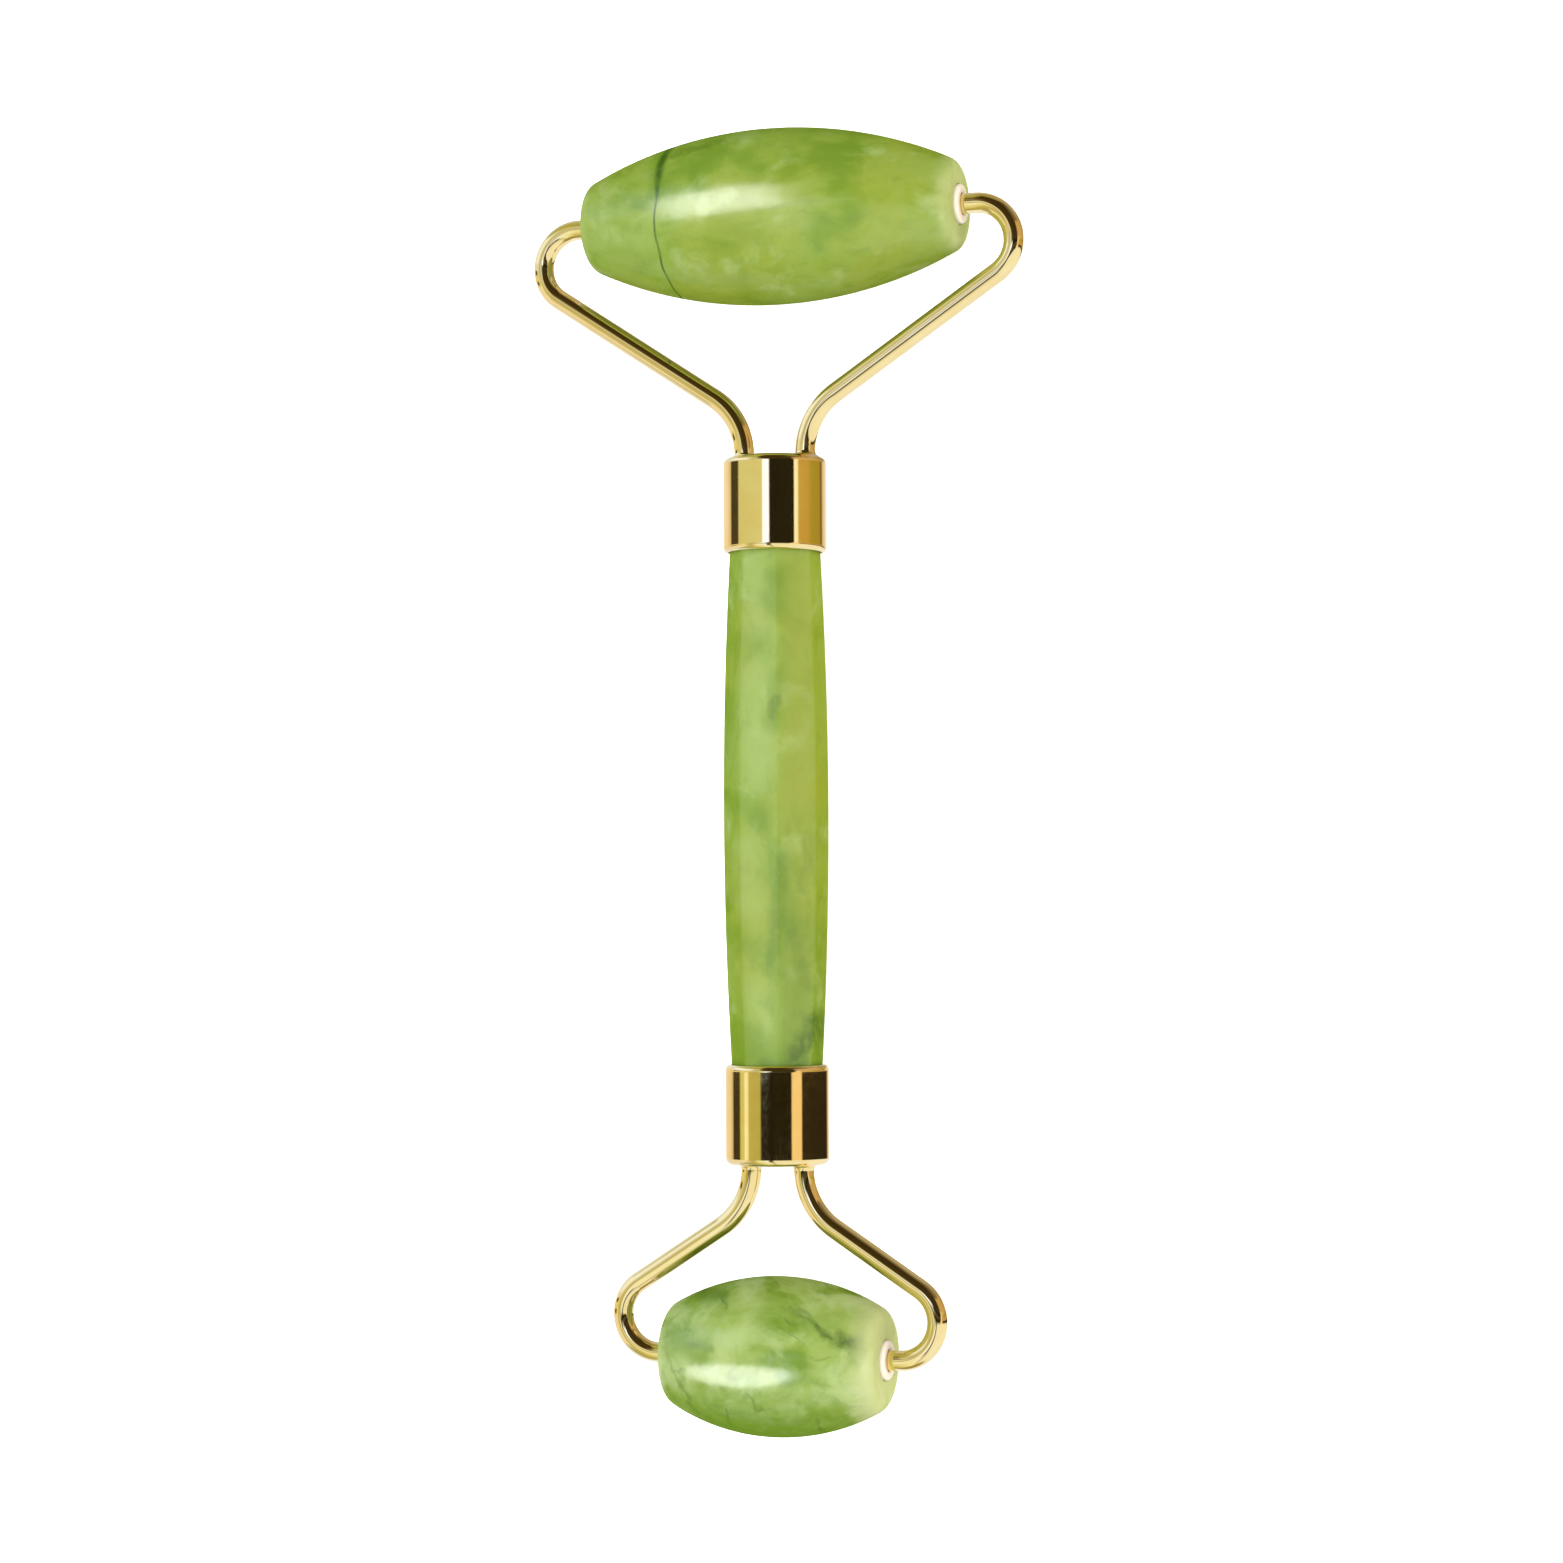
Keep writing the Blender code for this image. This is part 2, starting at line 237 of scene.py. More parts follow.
def new_mesh(name, builder):
    """The builder's faces as a smooth mesh."""
    bmesh.ops.recalc_face_normals(builder, faces=builder.faces[:])
    mesh = bpy.data.meshes.new(name)
    builder.to_mesh(mesh)
    builder.free()
    smooth(mesh)
    return mesh


def new_object(name, data):
    """An object in the scene."""
    item = bpy.data.objects.new(name, data)
    bpy.context.scene.collection.objects.link(item)
    return item


def ringed_mesh(name, rings, closed=False):
    """A mesh over rings of points. A ring of one point is a pole."""
    builder = bmesh.new()
    rings = [[builder.verts.new(point) for point in ring] for ring in rings]
    if closed:
        rings.append(rings[0])
    for first, second in zip(rings[:-1], rings[1:]):
        bridge(builder, first, second)
    return new_mesh(name, builder)


def turned_mesh(name, profile, steps, turn, closed=False):
    """A turned piece. The profile is (radius, height), and turn takes its axis from Z to its own."""
    rings = []
    for radius, height in profile:
        ring = []
        for step in range(1 if radius < POLE else steps):
            angle = 2 * math.pi * step / steps
            ring.append(turn @ Vector((radius * math.cos(angle), radius * math.sin(angle), height)))
        rings.append(ring)
    return ringed_mesh(name, rings, closed)


def stand(name, data, place, material, node, body):
    """Puts a finished piece in the place of its CAD node and lets it ride on that node's body."""
    piece = new_object(name, data)
    piece.matrix_world = Matrix.Translation(place)
    data.materials.append(material)
    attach(piece, body)
    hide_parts(node)
    return piece


def stand_gold(data, place, node):
    """Puts a gold-plated piece of the frame in its place."""
    finish = bpy.data.materials["polished_gold"]
    return stand(f"gold_{node}", data, place, finish, node, "frame")


# -------- finishes


def fill(tree, node, inputs):
    """Sets each input of a node to a value, or links it from a socket."""
    for key, value in inputs.items():
        if isinstance(value, bpy.types.NodeSocket):
            tree.links.new(value, node.inputs[key])
        else:
            node.inputs[key].default_value = value


def add_node(tree, kind, inputs=None, **settings):
    """A node with its settings and inputs."""
    node = tree.nodes.new(kind)
    for key, value in settings.items():
        setattr(node, key, value)
    fill(tree, node, inputs or {})
    return node


def calculate(tree, operation, first, second=0.0, third=0.0):
    """The result of one Math node."""
    inputs = {0: first, 1: second, 2: third}
    return add_node(tree, "ShaderNodeMath", inputs, operation=operation).outputs[0]


def calculate_vector(tree, operation, first, second):
    """The vector result of one Vector Math node."""
    inputs = {0: first, 1: second}
    return add_node(tree, "ShaderNodeVectorMath", inputs, operation=operation).outputs["Vector"]


def noise(tree, place, scale, detail, roughness=0.5):
    """A noise node, with its scale per millimetre."""
    inputs = {"Vector": place, "Scale": scale, "Detail": detail, "Roughness": roughness}
    return add_node(tree, "ShaderNodeTexNoise", inputs)


def rise(tree, value, low, high, first=0.0, last=1.0):
    """Goes smoothly from first to last while value goes from low to high."""
    inputs = {"Value": value, "From Min": low, "From Max": high, "To Min": first, "To Max": last}
    node = add_node(tree, "ShaderNodeMapRange", inputs, interpolation_type="SMOOTHSTEP")
    return node.outputs["Result"]


def tinted(base, shares):
    """A colour with each channel multiplied by its share."""
    return tuple(channel * share for channel, share in zip(base, shares))


def blend(tree, share, under, over):
    """Two colours mixed by share."""
    node = tree.nodes.new("ShaderNodeMix")
    node.data_type = "RGBA"
    for socket, value in ((node.inputs[0], share), (node.inputs[6], under), (node.inputs[7], over)):
        if isinstance(value, bpy.types.NodeSocket):
            tree.links.new(value, socket)
        elif isinstance(value, float):
            socket.default_value = value
        else:
            socket.default_value = (*value, 1.0)
    return node.outputs[2]


def new_finish(name):
    """A material, with its node tree and its shader."""
    material = bpy.data.materials.new(name)
    material.use_nodes = True
    tree = material.node_tree
    return material, tree, tree.nodes["Principled BSDF"]


def millimetres(tree):
    """The piece's own coordinates in millimetres."""
    own = add_node(tree, "ShaderNodeTexCoord").outputs["Object"]
    scale = (1 / MM, 1 / MM, 1 / MM)
    node = add_node(tree, "ShaderNodeMapping", {"Vector": own, "Scale": scale})
    return node.outputs["Vector"]


def bump(tree, height, distance):
    """A normal that follows height, up to distance metres high."""
    inputs = {"Height": height, "Distance": distance, "Strength": 1.0}
    return add_node(tree, "ShaderNodeBump", inputs).outputs["Normal"]


def streak(tree, place, start, end, width, wander):
    """1 along a line between two points of the piece, in millimetres, fading out at width.

    The line runs down into the stone, so depth (Z) counts little.
    """
    flatten = Vector((1.0, 1.0, 0.12))
    first = Vector(start) * flatten
    along = Vector(end) * flatten - first
    flat_place = calculate_vector(tree, "MULTIPLY", place, flatten)
    from_start = calculate_vector(tree, "SUBTRACT", flat_place, first)
    dot = add_node(tree, "ShaderNodeVectorMath", {0: from_start, 1: along}, operation="DOT_PRODUCT")
    share = calculate(tree, "DIVIDE", dot.outputs["Value"], along.length_squared)
    held = add_node(tree, "ShaderNodeClamp", {"Value": share}).outputs["Result"]
    scaled = add_node(tree, "ShaderNodeVectorMath", {0: along, "Scale": held}, operation="SCALE")
    gap = calculate_vector(tree, "SUBTRACT", from_start, scaled.outputs["Vector"])
    away = add_node(tree, "ShaderNodeVectorMath", {0: gap}, operation="LENGTH").outputs["Value"]
    loose = calculate(tree, "ADD", away, wander)
    return rise(tree, loose, 0.0, width, 1.0, 0.0)


def seam(tree, place, position, width, wobble):
    """A natural crack right through the stone, across its axis at X = position in millimetres."""
    parts = add_node(tree, "ShaderNodeSeparateXYZ", {0: place}).outputs
    bent = calculate(tree, "MULTIPLY_ADD", wobble, 1.8, -position - 0.9)
    away = calculate(tree, "ABSOLUTE", calculate(tree, "ADD", parts["X"], bent))
    wider = rise(tree, parts["Y"], 0.0, 4.5, width, 4.0 * width)
    line = calculate(tree, "SUBTRACT", 1.0, calculate(tree, "DIVIDE", away, wider))
    return rise(tree, line, 0.0, 0.9, 0.0, 0.9)


class Look(NamedTuple):
    """How one piece of jade is marked. Places are in the piece's own millimetres."""

    seed: tuple  # where its patterns start
    along: tuple  # stretch of the fibres
    mottle: float  # how much the clouds differ
    milky: float  # how much of the stone is milky
    thread: float  # how dark the fine threads and specks are
    gloss: float  # least roughness
    tints_and_painted_light: tuple  # tinted areas, some of them painted shade and painted sheen: colour, start, end, width, strength
    streaks: tuple  # dark lines: start, end, width, strength
    painted_end_glow: tuple = ()  # how far from each end, along X, the stone turns pale with painted light glowing through the thin stone
    crack: float | None = None  # where along X a crack runs through the stone


HANDLE_LOOK = Look(
    seed=(4.0, 90.0, 12.0),
    along=(1.0, 0.3, 1.0),
    mottle=0.75,
    milky=0.2,
    thread=0.08,
    gloss=0.32,
    tints_and_painted_light=(
        ("warm", (4.0, 26.0, 4.0), (4.6, 2.0, 4.0), 3.4, 0.55),
        ("warm", (4.6, 2.0, 4.0), (4.2, -18.0, 4.0), 3.2, 0.40),
        # partly the stone's milky patches, partly a painted sheen on the top flat
        ("milk", (-0.8, 26.0, 5.4), (-0.2, 19.5, 5.4), 3.2, 0.24),
        ("milk", (-1.2, 14.4, 5.4), (-0.6, 11.6, 5.4), 3.4, 0.22),
        ("milk", (-0.2, 8.0, 5.4), (-0.6, 3.0, 5.4), 3.0, 0.26),
        ("milk", (-1.8, -4.5, 5.2), (-1.2, -10.0, 5.2), 3.4, 0.22),
        ("milk", (-0.4, -20.0, 5.3), (0.2, -24.5, 5.3), 2.8, 0.18),
        ("deep", (2.2, 26.0, 5.3), (2.0, 22.0, 5.3), 2.2, 0.35),
        ("deep", (-3.8, 18.2, 3.5), (0.2, 18.4, 5.3), 2.6, 0.35),
        ("deep", (-4.5, 12.0, 2.5), (-4.5, 7.0, 2.5), 2.4, 0.30),
        ("deep", (2.1, 14.6, 5.3), (1.4, 9.4, 5.3), 1.8, 0.45),
        ("deep", (-3.6, 0.6, 4.0), (0.2, 0.0, 5.3), 2.4, 0.35),
        ("deep", (2.2, -5.6, 5.3), (2.6, -12.4, 5.2), 2.3, 0.60),
        ("deep", (2.6, -12.4, 5.2), (1.2, -17.4, 5.4), 2.0, 0.60),
        ("deep", (-4.5, -13.5, 3.5), (-0.4, -15.5, 5.3), 2.8, 0.40),
        # painted shade: the grip darker towards the lower ferrule
        ("deep", (4.0, -14.0, 4.0), (3.4, -27.0, 4.0), 4.2, 0.50),
        ("deep", (-3.5, -29.5, 4.0), (4.5, -29.5, 4.0), 7.0, 0.70),
    ),
    streaks=(
        ((1.9, 12.0, 5.3), (1.5, 10.2, 5.3), 0.8, 0.40),
        ((2.3, -5.6, 5.3), (1.9, -11.0, 5.3), 1.0, 0.20),
        ((1.9, -11.0, 5.3), (1.0, -16.4, 5.3), 1.0, 0.24),
        ((5.0, -3.0, 3.5), (4.3, -9.0, 3.8), 0.8, 0.20),
        ((3.4, -13.6, 4.6), (4.6, -19.6, 4.0), 0.8, 0.22),
        ((5.3, -23.0, 2.6), (3.2, -27.6, 4.2), 1.4, 0.70),
        ((0.0, -27.6, 5.0), (3.0, -28.2, 4.4), 0.8, 0.30),
    ),
)
LARGE_LOOK = Look(
    seed=(0.0, 0.0, 0.0),
    along=(0.3, 1.0, 1.0),
    mottle=0.8,
    milky=0.2,
    thread=0.1,
    gloss=0.19,
    tints_and_painted_light=(
        # painted shade: the stone darker along its top
        ("deep", (-10.0, 9.0, 3.0), (11.0, 9.6, 3.0), 4.5, 0.55),
        ("deep", (-11.4, 6.5, 4.6), (-10.6, 3.0, 8.0), 2.2, 0.60),
    ),
    streaks=(
        ((-9.8, 6.4, 5.6), (-4.2, 7.6, 5.4), 0.8, 0.40),
    ),
    painted_end_glow=(0.2, 0.6),
    crack=-10.9,
)
SMALL_LOOK = Look(
    seed=(140.0, 33.0, 71.0),
    along=(0.3, 1.0, 1.0),
    mottle=0.9,
    milky=0.75,
    thread=0.45,
    gloss=0.16,
    tints_and_painted_light=(
        # painted shade: the stone darker along its bottom
        ("deep", (-8.0, -8.0, 3.0), (7.0, -8.6, 3.0), 8.0, 0.95),
        ("deep", (-9.0, 7.5, 3.0), (-5.0, 7.0, 5.0), 2.8, 0.75),
        ("deep", (-9.5, 2.0, 6.0), (-6.0, 0.5, 8.0), 2.6, 0.60),
        ("deep", (1.0, 5.0, 6.0), (6.0, 4.4, 6.5), 2.4, 0.45),
    ),
    streaks=(
        ((3.6, 6.0, 6.1), (6.6, 4.2, 6.7), 0.50, 0.45),
        ((6.6, 4.2, 6.7), (9.7, 2.2, 6.4), 0.65, 0.70),
        ((9.5, 2.8, 6.0), (10.7, 2.5, 5.6), 1.3, 0.85),
        ((-8.3, 7.0, 2.0), (-4.6, 6.9, 5.0), 0.95, 0.45),
        ((-4.8, 6.8, 4.8), (-3.9, 5.8, 6.2), 0.22, 0.65),
        ((-7.6, 1.8, 7.4), (-4.7, 1.4, 8.2), 0.80, 0.30),
        ((-10.9, 0.8, 6.2), (-9.4, -2.0, 6.6), 0.30, 0.38),
        ((-9.3, -2.2, 6.6), (-8.1, -4.2, 6.1), 0.45, 0.42),
        ((-3.7, -5.1, 6.9), (-3.9, -7.1, 4.7), 0.28, 0.42),
        ((6.4, -5.8, 5.4), (5.9, -7.6, 2.8), 0.28, 0.42),
    ),
    painted_end_glow=(0.0, 2.1),
)


def shifted(tree, place, source, scale, detail, roughness, amount):
    """A place moved about by noise at source, over a range of amount."""
    swirl = noise(tree, source, scale, detail, roughness).outputs["Color"]
    centred = calculate_vector(tree, "SUBTRACT", swirl, (0.5, 0.5, 0.5))
    inputs = {0: centred, "Scale": amount}
    scaled = add_node(tree, "ShaderNodeVectorMath", inputs, operation="SCALE")
    return calculate_vector(tree, "ADD", place, scaled.outputs["Vector"])


def dark_marks(tree, own, moved, veins, specks, fine, look):
    """How dark the stone is with threads, specks, streaks and its crack, from 0 to 1."""
    ridge = calculate(tree, "ABSOLUTE", calculate(tree, "SUBTRACT", veins, 0.5))
    near = rise(tree, ridge, 0.0, 0.022, 0.75 * look.thread, 0.0)
    threads = calculate(tree, "MULTIPLY", near, rise(tree, specks, 0.50, 0.60))
    moss = rise(tree, specks, 0.66, 0.76, 0.0, look.thread)
    dark = calculate(tree, "MAXIMUM", threads, moss)
    unsteady = shifted(tree, own, moved, 0.55, 4.0, 0.6, 1.7)
    broken = rise(tree, fine, 0.36, 0.56, 0.35, 1.0)
    for start, end, width, strength in look.streaks:
        wander = calculate(tree, "MULTIPLY_ADD", fine, 1.6 * width, -0.9 * width)
        line = streak(tree, unsteady, start, end, width, wander)
        faded = calculate(tree, "MULTIPLY", line, calculate(tree, "MULTIPLY", broken, strength))
        dark = calculate(tree, "MAXIMUM", dark, faded)
    if look.crack is not None:
        line = seam(tree, own, look.crack, 0.22, noise(tree, own, 0.12, 2.0).outputs["Fac"])
        ragged = rise(tree, fine, 0.36, 0.56, 0.7, 1.0)
        dark = calculate(tree, "MAXIMUM", dark, calculate(tree, "MULTIPLY", line, ragged))
    return dark


def jade_finish(name, colours, look, half_length=0.0):
    """Polished jade, with painted shade in places and painted light glowing at its ends. half_length
    is from its middle to its end along X, in millimetres.
    """
    material, tree, shader = new_finish(name)
    own = millimetres(tree)
    moved = calculate_vector(tree, "ADD", own, look.seed)
    place = shifted(tree, moved, moved, 0.10, 2.0, 0.5, 6.0)

    def layer(offset, scale, detail, roughness=0.5):
        apart = calculate_vector(tree, "ADD", place, offset)
        return noise(tree, apart, scale, detail, roughness).outputs["Fac"]

    clouds = layer((0.0, 0.0, 0.0), 0.13, 4.0)
    patches = layer((31.0, 7.0, 3.0), 0.07, 2.0)
    fine = layer((5.0, 40.0, 9.0), 0.55, 6.0, 0.6)
    milk = layer((2.0, 11.0, 50.0), 0.20, 5.0, 0.55)
    veins = layer((60.0, 3.0, 21.0), 0.11, 3.0)
    specks = layer((13.0, 70.0, 2.0), 0.36, 7.0, 0.6)
    drawn = calculate_vector(tree, "MULTIPLY", place, look.along)
    fibres = noise(tree, drawn, 0.8, 6.0, 0.6).outputs["Fac"]

    haze = rise(tree, clouds, 0.30, 0.65, 0.1 * look.milky, 0.7 * look.milky)
    shade = blend(tree, haze, colours.body, colours.milk)
    milk_start = 0.58 - 0.2 * look.milky
    for pattern, none, full, most, tint in (
        (clouds, 0.50, 0.34, look.mottle, colours.deep),
        (clouds, 0.50, 0.68, look.mottle, colours.pale),
        (patches, 0.46, 0.66, 0.6 - 0.5 * look.milky, colours.warm),
        (fibres, 0.50, 0.72, 0.45, colours.pale),
        (fibres, 0.50, 0.30, 0.35, colours.deep),
        (milk, milk_start, milk_start + 0.2, 0.45 + 0.3 * look.milky, colours.milk),
        (fine, 0.52, 0.30, 0.25 * look.mottle, colours.deep),
    ):
        shade = blend(tree, rise(tree, pattern, none, full, 0.0, most), shade, tint)
    # tinted areas, some of them painted shade and painted sheen
    for tint, start, end, width, strength in look.tints_and_painted_light:
        wander = calculate(tree, "MULTIPLY_ADD", fine, width, -0.5 * width)
        tint_and_light_mask = streak(tree, own, start, end, width, wander)
        share = calculate(tree, "MULTIPLY", tint_and_light_mask, strength)
        shade = blend(tree, share, shade, getattr(colours, tint))
    dark = dark_marks(tree, own, moved, veins, specks, fine, look)
    shade = blend(tree, dark, shade, colours.moss)
    # painted light: the stone paler towards each end, as if lit through the thin stone
    if look.painted_end_glow:
        right = add_node(tree, "ShaderNodeSeparateXYZ", {0: own}).outputs["X"]
        left = calculate(tree, "MULTIPLY", right, -1.0)
        for outward, inset in zip((left, right), look.painted_end_glow):
            start = half_length - inset
            uneven = calculate(tree, "MULTIPLY_ADD", milk, 3.0, outward)
            share = rise(tree, uneven, start, start + 3.4, 0.0, 0.52)
            shade = blend(tree, share, shade, colours.end)

    hollows = calculate(tree, "MULTIPLY_ADD", fine, 0.25, clouds)
    grazing = add_node(tree, "ShaderNodeLayerWeight", {"Blend": 0.5}).outputs["Facing"]
    inputs = {
        "Base Color": shade,
        "Roughness": rise(tree, fine, 0.3, 0.7, look.gloss, look.gloss + 0.08),
        "Normal": bump(tree, hollows, 0.07 * MM),
        "Specular IOR Level": rise(tree, grazing, 0.14, 0.52, 0.5, 0.0),
        "IOR": 1.60,
        "Subsurface Weight": 0.35,
        "Subsurface Radius": (0.9, 1.0, 0.35),
        "Subsurface Scale": 2.2 * MM,
    }
    fill(tree, shader, inputs)
    return material


def gold_finish(name, tint):
    """Bright gold plate with the faint unevenness of hand polishing."""
    material, tree, shader = new_finish(name)
    place = millimetres(tree)
    broad = noise(tree, place, 0.35, 3.0).outputs["Fac"]
    rubbed = calculate_vector(tree, "MULTIPLY", place, (9.0, 1.2, 9.0))
    wiped = noise(tree, rubbed, 1.0, 5.0, 0.6).outputs["Fac"]
    deep = tinted(tint, (0.97, 0.94, 0.86))
    uneven = calculate(tree, "MULTIPLY_ADD", wiped, 0.04, broad)
    inputs = {
        "Base Color": blend(tree, rise(tree, broad, 0.3, 0.7), deep, tint),
        "Roughness": rise(tree, wiped, 0.25, 0.8, 0.03, 0.08),
        "Normal": bump(tree, uneven, 0.004 * MM),
        "Metallic": 1.0,
    }
    fill(tree, shader, inputs)
    return material


def nylon_finish(name, tint):
    """Moulded nylon, a little translucent, with a faint flow mottle."""
    material, tree, shader = new_finish(name)
    place = millimetres(tree)
    flow = noise(tree, place, 0.8, 4.0).outputs["Fac"]
    fine = noise(tree, place, 6.0, 3.0).outputs["Fac"]
    dull = tinted(tint, (0.97, 0.93, 0.90))
    inputs = {
        "Base Color": blend(tree, rise(tree, flow, 0.35, 0.65), dull, tint),
        "Roughness": rise(tree, fine, 0.3, 0.7, 0.32, 0.46),
        "Normal": bump(tree, fine, 0.01 * MM),
        "Subsurface Weight": 0.3,
        "Subsurface Radius": (1.0, 0.7, 0.6),
        "Subsurface Scale": 0.8 * MM,
    }
    fill(tree, shader, inputs)
    return material


def glue_finish(name, tint):
    """Hardened glue with small bubbles."""
    material, tree, shader = new_finish(name)
    place = millimetres(tree)
    cells = add_node(tree, "ShaderNodeTexVoronoi", {"Vector": place, "Scale": 1.6})
    bubbles = rise(tree, cells.outputs["Distance"], 0.08, 0.2)
    cloud = noise(tree, place, 0.5, 4.0).outputs["Fac"]
    dull = tinted(tint, (0.8, 0.8, 0.8))
    inputs = {
        "Base Color": blend(tree, rise(tree, cloud, 0.3, 0.7), dull, tint),
        "Roughness": rise(tree, cloud, 0.3, 0.7, 0.2, 0.4),
        "Normal": bump(tree, bubbles, 0.05 * MM),
    }
    fill(tree, shader, inputs)
    return material


def floor_finish(name, tint):
    """Matt painted board."""
    material, tree, shader = new_finish(name)
    place = millimetres(tree)
    grain = noise(tree, place, 0.02, 4.0).outputs["Fac"]
    dull = tinted(tint, (0.985, 0.985, 0.985))
    inputs = {
        "Base Color": blend(tree, grain, dull, tint),
        "Roughness": rise(tree, grain, 0.3, 0.7, 0.85, 0.95),
        "Specular IOR Level": 0.1,
    }
    fill(tree, shader, inputs)
    return material


# -------- handle


def octagon_ring(flat_distance, rounding, crown):
    """One section of the grip: eight slightly crowned flats with rounded corners between them."""
    eighth = math.pi / 8  # half the turn from one flat to the next
    shoulder = flat_distance - crown
    corner = (shoulder - rounding) / math.cos(eighth)
    side = corner * math.sin(eighth)
    points = []
    for index in range(8):
        heading = (2 * index + 1) * eighth
        centre = (corner * math.cos(heading), corner * math.sin(heading))
        points += arc(centre, rounding, heading - eighth, heading + eighth, 6)
        flat = heading + eighth
        for share in (0.85, 0.6, 0.3, 0.0, -0.3, -0.6, -0.85):
            away = shoulder + crown * (1 - share**2)
            x = away * math.cos(flat) + share * side * math.sin(flat)
            z = away * math.sin(flat) - share * side * math.cos(flat)
            points.append((x, z))
    return points


def handle_mesh(sizes):
    """The grip from mouth to mouth with a round spigot at each end, about its own middle."""
    low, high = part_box("handle")
    middle = (low.y + high.y) / 2
    upper, lower = high.y - middle, low.y - middle
    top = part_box("upper_ferrule")[0].y - middle + sizes.mouth_entry
    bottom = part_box("lower_ferrule")[1].y - middle - sizes.mouth_entry
    half = (top - bottom) / 2
    centre = (top + bottom) / 2
    chamfer = 0.3 * MM
    full = sizes.spigot_radius

    def spigot(y, radius):
        ring = []
        for x, z in octagon_ring(sizes.width / 2, sizes.edge_rounding, sizes.crown):
            away = math.hypot(x, z)
            ring.append((radius * x / away, y, radius * z / away))
        return ring

    rings = [[(0.0, upper, 0.0)], spigot(upper, full - chamfer)]
    rings += [spigot(upper - chamfer, full), spigot(top, full)]
    for step in range(sizes.rings + 1):
        share = 1 - 2 * step / sizes.rings
        flat = (sizes.end_width + (sizes.width - sizes.end_width) * (1 - share**2)) / 2
        section = octagon_ring(flat, sizes.edge_rounding, sizes.crown)
        rings.append([(x, centre + share * half, z) for x, z in section])
    rings += [spigot(bottom, full), spigot(lower + chamfer, full)]
    rings += [spigot(lower, full - chamfer), [(0.0, lower, 0.0)]]
    return ringed_mesh("jade_handle", rings)


class ROLLER_OT_handle(Operator):
    """Make the octagonal jade handle"""

    bl_idname = "roller.handle"
    bl_label = "Handle"

    def execute(self, context):
        settings = context.scene.face_roller
        finish = jade_finish("handle_jade", settings.stone, HANDLE_LOOK)
        mesh = handle_mesh(settings.handle)
        stand("jade_handle", mesh, node_middle("handle"), finish, "handle", "frame")
        return {"FINISHED"}


# -------- forks


def facing(direction):
    """The turn that takes Z to a ferrule's outward direction along Y."""
    return Matrix.Rotation(-direction * math.pi / 2, 4, "X")


def ferrule_profile(sizes, span):
    """A drawn cap whose closed end is at height 0 and whose mouth is below."""
    outside = sizes.ferrule_radius
    rim = sizes.rim_rounding
    inner_lip = sizes.wall - sizes.lip_width
    bore = outside - sizes.wall
    support = 0.04 * MM
    points = [(0.0, 0.0), (outside - rim - support, 0.0)]
    points += arc((outside - rim, -rim), rim, math.pi / 2, 0.0, 14)
    points += [(outside, -rim - support), (outside, sizes.lip_height + support - span)]
    for across, along in arc((0.0, 0.0), 1.0, 0.0, -math.pi / 2, 14):
        radius = outside - sizes.lip_width * (1 - across)
        points.append((radius, sizes.lip_height * (1 + along) - span))
    lip_centre = (bore + inner_lip, inner_lip - span)
    points += arc(lip_centre, inner_lip, -math.pi / 2, -math.pi, 5)[1:]
    points += [(bore, -sizes.end_wall), (0.0, -sizes.end_wall)]
    return points


def cut_leg_holes(piece, radius, offset, depth):
    """Drills the two leg holes through the piece's closed end."""
    builder = bmesh.new()
    for side in SIDES.values():
        bmesh.ops.create_cone(
            builder,
            cap_ends=True,
            segments=48,
            radius1=radius,
            radius2=radius,
            depth=depth,
            matrix=Matrix.Translation((side * offset, 0.0, 0.0)) @ facing(1),
        )
    drill_mesh = bpy.data.meshes.new("drill")
    builder.to_mesh(drill_mesh)
    builder.free()
    drill = new_object("drill", drill_mesh)
    drill.matrix_world = piece.matrix_world
    cut = piece.modifiers.new("Leg holes", "BOOLEAN")
    cut.operation = "DIFFERENCE"
    cut.solver = "EXACT"
    cut.object = drill
    bpy.context.view_layer.update()
    depsgraph = bpy.context.evaluated_depsgraph_get()
    mesh = bpy.data.meshes.new_from_object(piece.evaluated_get(depsgraph))
    piece.modifiers.clear()
    piece.data = mesh
    smooth(mesh)
    bpy.data.objects.remove(drill)


class ROLLER_OT_ferrules(Operator):
    """Make the two gold ferrules"""

    bl_idname = "roller.ferrules"
    bl_label = "Ferrules"

    def execute(self, context):
        sizes = context.scene.face_roller.forks
        for end, (_, direction) in ENDS.items():
            node = f"{end}_ferrule"
            profile = ferrule_profile(sizes, node_size(node).y)
            mesh = turned_mesh(node, profile, FERRULE_STEPS, facing(direction))
            piece = stand_gold(mesh, ferrule_face(end), node)
            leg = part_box(f"{end}_right_arm")[0].x + sizes.wire_radius
            cut_leg_holes(piece, sizes.wire_radius + LEG_CLEARANCE, leg, 2.8 * sizes.end_wall)
        return {"FINISHED"}


